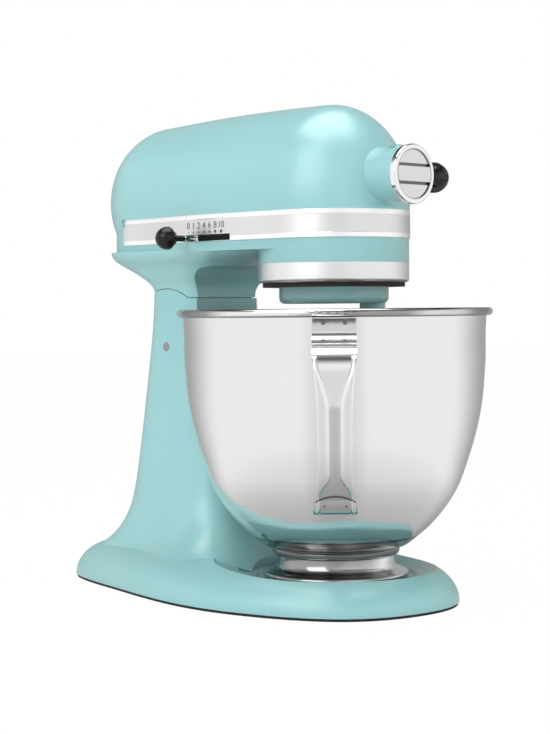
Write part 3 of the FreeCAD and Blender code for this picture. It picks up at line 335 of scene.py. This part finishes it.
def spun_steel():
    t = material("spun_steel")
    z = t.axes()["Z"]
    t.set(Metallic=1.0, Roughness=t.spread(t.streaks(z, 2600.0), low=0.11, high=0.16))
    t.bump(t.streaks(z, 5200.0), strength=0.02, distance=0.0001)
    # painted reflection: patches where the beads are painted dark
    painted_reflection_patch = t.ramp(t.noise(16.0, detail=1.0), 0.4, 0.6, low=0.6, high=0.0)
    painted_dark = 0.0
    for low, high in BEADS:
        painted_dark = t.most(painted_dark, painted_bead_reflection(t, z, painted_reflection_patch, low, high))
    lines = t.spread(t.streaks(z, 900.0), low=0.985, high=1.01)
    t.set(Base_Color=t.tint(t.times(t.minus(1.0, painted_dark), lines), BLACK, BOWL_COLOR))
    return t.block


def handle_steel():
    t = material("polished_strap")
    turn = (0, 0, math.radians(-HANDLE_DEG))
    turned = t.add("ShaderNodeMapping", Vector=t.place(), Rotation=turn)
    spot = t.axes(turned.outputs["Vector"])
    across = t.size(spot["Y"])
    z = spot["Z"]
    t.set(Metallic=1.0, Roughness=t.spread(t.streaks(spot["Y"], 3000.0), low=0.1, high=0.15))
    # a pressed channel between two rounded ridges, wide at both ends of the strap
    above = t.ramp(z, CHANNEL_MID_Z, CHANNEL_TOP_Z, low=0.0, high=1.0)
    below = t.ramp(z, CHANNEL_FOOT_Z, CHANNEL_LOW_Z, low=1.0, high=0.0)
    wide = t.most(t.times(above, CHANNEL_TOP_W), t.times(below, CHANNEL_LOW_W))
    half = t.plus(wide, CHANNEL_HALF_W)
    out = t.math("DIVIDE", t.minus(across, half), t.minus(STRAP_HALF_W, half))
    out = t.clamped(out)
    ridge = t.times(t.times(out, t.minus(1.0, out)), 4.0)
    strap = t.ramp(z, SHELF_Z, SHELF_Z - SHELF_FADE, low=0.0, high=1.0)
    kick = t.times(t.most(t.minus(PLATE_TOP_Z, z), 0.0), PLATE_KICK)
    t.bump(t.plus(t.times(ridge, strap), kick), strength=1.0, distance=CHANNEL_DEPTH)
    # painted shade: the valley, the creases beside it, the slot and the outer edges are painted
    # darker than the ridges
    flat = t.ramp(z, CHANNEL_MID_Z, CHANNEL_MID_Z + CHANNEL_FADE, low=0.72, high=1.0)
    rise = t.ramp(out, 0.0, VALLEY_SHARE, low=0.0, high=1.0)
    valley_painted_shade = t.plus(t.times(t.minus(1.0, flat), rise), flat)
    painted_dark_edge = t.ramp(across, STRAP_HALF_W - STRAP_EDGE_W, STRAP_HALF_W, low=1.0, high=0.45)
    crease_painted_shade = t.ramp(t.away(out, CREASE_SHARE), 0.0, CREASE_REACH, low=0.7, high=1.0)
    bow = t.minus(SLOT_Z, t.times(t.square(across), SLOT_BOW))
    slot_painted_shade = t.ramp(t.away(z, bow), SLOT_HALF_W, SLOT_REACH, low=0.25, high=1.0)
    tone_with_painted_shade = t.times(t.times(t.times(valley_painted_shade, painted_dark_edge), crease_painted_shade), slot_painted_shade)
    shelf = t.times(t.minus(1.0, strap), 0.9)
    t.set(Base_Color=t.tint(t.plus(t.times(tone_with_painted_shade, strap), shelf), BLACK, STRAP_COLOR))
    return t.block


def trim(rails):
    t = material("brushed_trim_railed" if rails else "brushed_trim")
    z = t.axes()["Z"]
    t.set(Metallic=1.0, Roughness=t.spread(t.streaks(z, 2400.0), low=0.3, high=0.42))
    grain = t.streaks(z, 5000.0)
    if not rails:
        t.set(Base_Color=t.tint(t.streaks(z, 1500.0), shade(TRIM_COLOR, 0.94), TRIM_COLOR))
        t.bump(grain, strength=0.05, distance=0.0002)
        return t.block
    low, high = (corner.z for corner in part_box("trim_band"))
    off = t.away(z, 0.5 * (low + high))
    inner = 0.5 * (high - low) - RAIL_W
    rail = t.ramp(off, inner, inner + RAIL_FADE, low=0.0, high=1.0)
    t.set(Base_Color=t.tint(rail, BAND_COLOR, WHITE))
    t.bump(t.plus(t.times(grain, 0.1), rail), strength=0.5, distance=0.0004)
    return t.block


def chrome():
    t = material("bright_chrome")
    t.set(Metallic=1.0, Roughness=t.spread(t.noise(140.0, detail=4.0), low=0.05, high=0.1))
    t.set(Base_Color=t.tint(t.noise(25.0), CHROME_LOW, CHROME_HIGH))
    return t.block


def satin_chrome():
    # a bright rim, a satin plate, and painted shade in two channels beside the plate's bar and
    # along the plate's edge
    t = material("satin_chrome")
    where = t.axes()
    up = t.minus(where["Z"], HUB_Z)
    r = t.math("SQRT", t.plus(t.square(where["X"]), t.square(up)))
    plate = t.ramp(r, HUB_PLATE_R, HUB_PLATE_R + HUB_PLATE_FADE, low=1.0, high=0.0)
    off = t.away(t.size(up), HUB_CHANNEL)
    channel_painted_shade = t.ramp(off, HUB_CHANNEL_HALF_W, HUB_CHANNEL_REACH, low=0.8, high=0.0)
    ring_painted_shade = t.ramp(t.away(r, HUB_PLATE_R), HUB_RING_HALF_W, HUB_RING_REACH, low=0.5, high=0.0)
    # painted shade in the channels and along the plate's edge
    painted_dark = t.most(t.times(channel_painted_shade, plate), ring_painted_shade)
    tone_with_painted_shade = t.times(t.minus(1.0, painted_dark), t.spread(plate, low=1.0, high=0.82))
    t.set(Metallic=1.0, Roughness=t.spread(plate, low=0.06, high=0.2))
    t.set(Base_Color=t.tint(tone_with_painted_shade, BLACK, COVER_COLOR))
    t.bump(t.streaks(where["X"], 4200.0), strength=0.03, distance=0.0001)
    return t.block


def black_gloss():
    t = material("black_gloss")
    t.set(Base_Color=t.tint(t.noise(300.0), GLOSS_LOW, GLOSS_HIGH))
    t.set(Roughness=t.spread(t.noise(500.0), low=0.1, high=0.2), Specular_IOR_Level=0.3)
    t.bump(t.noise(2200.0), strength=0.04, distance=0.0002)
    return t.block


def plain(name, color, metallic, rough, grain, depth):
    t = material(name)
    t.set(Metallic=metallic, Specular_IOR_Level=0.3)
    t.set(Base_Color=t.tint(t.noise(grain * 0.2), shade(color, 0.9), shade(color, 1.08)))
    t.set(Roughness=t.spread(t.noise(grain), low=rough - 0.06, high=rough + 0.08))
    t.bump(t.noise(grain, detail=3.0), strength=depth, distance=0.0003)
    return t.block


# One finish for each material slot, and some nodes with a finish of their own
finish = {
    "enamel": enamel(),
    "bowl_steel": spun_steel(),
    "trim_steel": trim(rails=False),
    "chrome": chrome(),
    "black_knob": black_gloss(),
    "rubber": plain("soft_rubber", (0.02, 0.02, 0.02), 0.0, 0.7, 900.0, 0.15),
    "gear_steel": plain("machined_steel", (0.5, 0.5, 0.51), 1.0, 0.32, 700.0, 0.06),
    "pressed_steel": plain("zinc_plate", (0.62, 0.63, 0.65), 1.0, 0.38, 400.0, 0.08),
    "bronze": plain("sintered_bronze", (0.56, 0.38, 0.18), 1.0, 0.42, 900.0, 0.12),
    "copper": plain("wound_copper", (0.62, 0.26, 0.12), 1.0, 0.35, 500.0, 0.1),
    "moulding": plain("moulded_plastic", (0.04, 0.04, 0.04), 0.0, 0.55, 800.0, 0.12),
    "carbon": plain("pressed_carbon", (0.03, 0.03, 0.03), 0.0, 0.6, 800.0, 0.12),
}
special = {
    "trim_band": trim(rails=True),
    "bowl_handle": handle_steel(),
    "hub_cover": satin_chrome(),
    "speed_plate": finish["moulding"],
    "hinge_pin": plain("dull_chrome", (0.32, 0.32, 0.33), 1.0, 0.2, 500.0, 0.05),
}
ink = plain("printed_ink", (0.10, 0.11, 0.11), 0.0, 0.5, 900.0, 0.05)
for part in frame["record"]["subparts"]:
    skin = nodes[part["node"]].data.materials
    skin.clear()
    skin.append(special.get(part["node"], finish[part["material_slot"]]))


# Details laid on a node's own surface
def surface(node):
    mesh = nodes[node].data
    points = [v.co for v in mesh.vertices]
    return BVHTree.FromPolygons(points, [p.vertices for p in mesh.polygons])


def hit(tree, start, way):
    # ray_cast gives the place first
    return tree.ray_cast(Vector(start), Vector(way).normalized())[0]


def mesh_piece(name, points, faces, skin, body):
    mesh = bpy.data.meshes.new(name)
    mesh.from_pydata(points, [], faces)
    mesh.materials.append(skin)
    piece = bpy.data.objects.new(name, mesh)
    scene.collection.objects.link(piece)
    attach(piece, body)
    return piece


def digit_mesh(text):
    # the outline of one printed number, flat, centred on the origin
    curve = bpy.data.curves.new("mark", "FONT")
    curve.body = text
    curve.size = DIGIT_H / DIGIT_SHARE
    curve.align_x = "CENTER"
    curve.align_y = "CENTER"
    curve.resolution_u = 4
    holder = bpy.data.objects.new("mark", curve)
    scene.collection.objects.link(holder)
    bpy.context.view_layer.update()
    depsgraph = bpy.context.evaluated_depsgraph_get()
    flat = bpy.data.meshes.new_from_object(holder.evaluated_get(depsgraph))
    points = [v.co.copy() for v in flat.vertices]
    faces = [list(p.vertices) for p in flat.polygons]
    bpy.data.objects.remove(holder)
    return points, faces


def dot_mesh(r):
    turns = [math.tau * i / DOT_SIDES for i in range(DOT_SIDES)]
    points = [Vector((r * math.cos(turn), r * math.sin(turn), 0)) for turn in turns]
    return points, [list(range(DOT_SIDES))]


def print_on_band(name, outline, y, z):
    # a printed mark that follows the side of the band, read from the -X side
    points, faces = outline
    laid = []
    for p in points:
        spot = hit(band, (BAND_OUTSIDE, y - p.x, z + p.y), (1, 0, 0))
        laid.append(Vector((spot.x - PRINT_LIFT, y - p.x, z + p.y)))
    mesh_piece(name, laid, faces, ink, "head")


def weld_dots(name, z, r):
    # a pair of dark dimples on a plate of the handle, laid along the handle's own radius
    turn = math.radians(HANDLE_DEG)
    out = Vector((math.cos(turn), math.sin(turn), 0))
    aside = Vector((-out.y, out.x, 0))
    up = Vector((0, 0, 1))
    outline, faces = dot_mesh(r)
    for end, side in (("_right", -1), ("_left", 1)):
        laid = []
        for p in outline:
            start = out * BOWL_OUTSIDE + aside * (side * WELD_SPREAD + p.x) + up * (z + p.y)
            laid.append(hit(strap, start, -out) + out * WELD_LIFT)
        mesh_piece(name + end, laid, faces, ink, "bowl")


band = surface("trim_band")
for i, label in enumerate(SCALE_LABELS):
    share = i / (len(SCALE_LABELS) - 1)
    y = SCALE_FIRST_Y + (SCALE_LAST_Y - SCALE_FIRST_Y) * share
    print_on_band("scale_mark_" + label, digit_mesh(label), y, SCALE_Z)
    print_on_band("scale_dot_" + label, dot_mesh(DOT_R + DOT_GROWTH * share), y, SCALE_DOT_Z)

strap = surface("bowl_handle")
for weld in WELDS:
    weld_dots(*weld)


# Lever knobs: a round cap with a flat back, a collar and a thin stem
def knob_runs(r, length):
    # distance from the outer end and radius, one run for each smooth stretch
    turns = [math.radians(degrees) for degrees in DOME_DEGREES]
    dome = [(DOME_DEPTH * r * (1 - math.cos(turn)), r * math.sin(turn)) for turn in turns]
    end = dome[-1][0]
    runs = [[(end + along * r, radius * r) for along, radius in run] for run in KNOB_RUNS]
    stem_start, stem_r = runs[-1][-1]
    return [dome, *runs, [(stem_start, stem_r), (length, stem_r)]]


def lever_cap(name, node, body, side):
    low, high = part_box(node)
    r = KNOB_SHARE * (high.z - low.z)
    outer = high.x if side > 0 else low.x
    y = 0.5 * (low.y + high.y)
    z = 0.5 * (low.z + high.z)
    points = []
    faces = [list(range(KNOB_SIDES))]
    for run in knob_runs(r, high.x - low.x):
        for step, (along, radius) in enumerate(run):
            first = len(points)
            for i in range(KNOB_SIDES):
                turn = math.tau * i / KNOB_SIDES
                across, up = radius * math.cos(turn), radius * math.sin(turn)
                points.append((outer - side * along, y + across, z + up))
                if step:
                    j = (i + 1) % KNOB_SIDES
                    last = first - KNOB_SIDES
                    faces.append([first + i, first + j, last + j, last + i])
    if side < 0:
        faces = [face[::-1] for face in faces]
    piece = mesh_piece(name, points, faces, finish["black_knob"], body)
    for face in piece.data.polygons:
        face.use_smooth = True
    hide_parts(node)


lever_cap("speed_cap", "speed_knob", "speed_control", -1)
lever_cap("lock_cap", "lock_knob", "lock_control", 1)

# Webs that close the corner between the column's toe and the base
for name, side in (("toe_web_left", -1), ("toe_web_right", 1)):
    points = [(x * side, y, TOE_FOOT_Z) for x, y, top in TOE_CORNERS]
    points += [(x * side, y, top) for x, y, top in TOE_CORNERS]
    mesh_piece(name, points, TOE_FACES, finish["enamel"], "base")


# Studio: white sweep, soft panels and the photograph's camera
def panel(name, place, target, width, height, watts, mirrored):
    light = bpy.data.lights.new(name, "AREA")
    light.shape = "RECTANGLE"
    light.size = width
    light.size_y = height
    light.energy = watts
    lamp = bpy.data.objects.new(name, light)
    scene.collection.objects.link(lamp)
    lamp.location = place
    way = Vector(target) - lamp.location
    lamp.rotation_euler = way.to_track_quat("-Z", "Y").to_euler()
    lamp.visible_glossy = mirrored


def seen_white(t, share):
    # the share of plain white for camera, mirror and clear rays, and none for all others
    path = t.add("ShaderNodeLightPath").outputs
    seen = t.most(path["Is Camera Ray"], path["Is Transmission Ray"])
    return t.times(t.most(seen, path["Is Glossy Ray"]), share)


def mirror_only(t, level):
    # the level for mirror rays, plain white for all others
    mirror = t.add("ShaderNodeLightPath").outputs["Is Glossy Ray"]
    return t.minus(1.0, t.times(mirror, t.minus(1.0, level)))


def behind(t, way):
    # white to the sides, greyer behind the object and round the camera's own place
    unit = t.vector("NORMALIZE", way)["Vector"]
    toward = t.vector("DOT_PRODUCT", unit, TO_CAMERA)["Value"]
    front = t.ramp(toward, FRONT_START, 1.0, low=1.0, high=FRONT_DARK)
    back = t.ramp(toward, BACK_FULL, BACK_END, low=BACK_DARK, high=1.0)
    return t.times(back, front)


def white_floor():
    corners = [(-FLOOR_HALF, -FLOOR_HALF, 0), (FLOOR_HALF, -FLOOR_HALF, 0),
               (FLOOR_HALF, FLOOR_HALF, 0), (-FLOOR_HALF, FLOOR_HALF, 0)]
    mesh = bpy.data.meshes.new("floor")
    mesh.from_pydata(corners, [], [[0, 1, 2, 3]])
    floor = bpy.data.objects.new("floor", mesh)
    scene.collection.objects.link(floor)
    t = material("white_floor")
    t.set(Base_Color=(FLOOR_PAINT, FLOOR_PAINT, FLOOR_PAINT, 1), Roughness=0.6)
    place = t.place()
    gap = t.vector("LENGTH", place)["Value"]
    near = t.ramp(gap, FLOOR_NEAR, FLOOR_REACH, low=FLOOR_DARK, high=1.0)
    level = mirror_only(t, t.times(near, behind(t, place)))
    glow = t.add("ShaderNodeEmission", Color=(*WHITE, 1), Strength=level)
    t.blend(seen_white(t, FLOOR_WHITE), t.shader, glow, "Material Output")
    mesh.materials.append(t.block)


def white_world():
    scene.world = bpy.data.worlds.new("studio")
    t = Tree(scene.world)
    soft = t.nodes["Background"]
    t.fill(soft, {"Color": (*WHITE, 1), "Strength": WORLD_LEVEL})
    way = t.add("ShaderNodeTexCoord").outputs["Generated"]
    height = t.away(t.axes(way)["Z"], WALL_HEIGHT)
    wall = t.ramp(height, 0.0, WALL_BAND, low=WALL_DARK, high=1.0)
    level = mirror_only(t, t.times(wall, behind(t, way)))
    white = t.add("ShaderNodeBackground", Color=(*WHITE, 1), Strength=level)
    t.blend(seen_white(t, 1.0), soft, white, "World Output")


def photo_camera():
    data = bpy.data.cameras.new("camera")
    data.sensor_width = SENSOR_MM
    data.lens = FOCAL_PX / IMAGE_H * SENSOR_MM
    camera = bpy.data.objects.new("camera", data)
    scene.collection.objects.link(camera)
    scene.camera = camera
    to_axis = -TO_CAMERA
    side = Vector((to_axis.y, -to_axis.x, 0))
    aside = math.atan((AXIS_PX - IMAGE_W / 2) / FOCAL_PX)
    level = to_axis * math.cos(aside) - side * math.sin(aside)
    right = side * math.cos(aside) + to_axis * math.sin(aside)
    dip = math.atan((IMAGE_H / 2 - HORIZON_PX) / FOCAL_PX)
    forward = level * math.cos(dip) - Vector((0, 0, math.sin(dip)))
    up = right.cross(forward)
    roll = math.radians(ROLL_DEG)
    across = right * math.cos(roll) - up * math.sin(roll)
    upward = up * math.cos(roll) + right * math.sin(roll)
    axes = Matrix((across, upward, -forward)).transposed()
    place = Vector((0, 0, EYE_Z)) - to_axis * AXIS_DISTANCE
    camera.matrix_world = Matrix.Translation(place) @ axes.to_4x4()


for values in PANELS:
    panel(*values)
white_floor()
white_world()
photo_camera()
scene.view_settings.view_transform = "Standard"
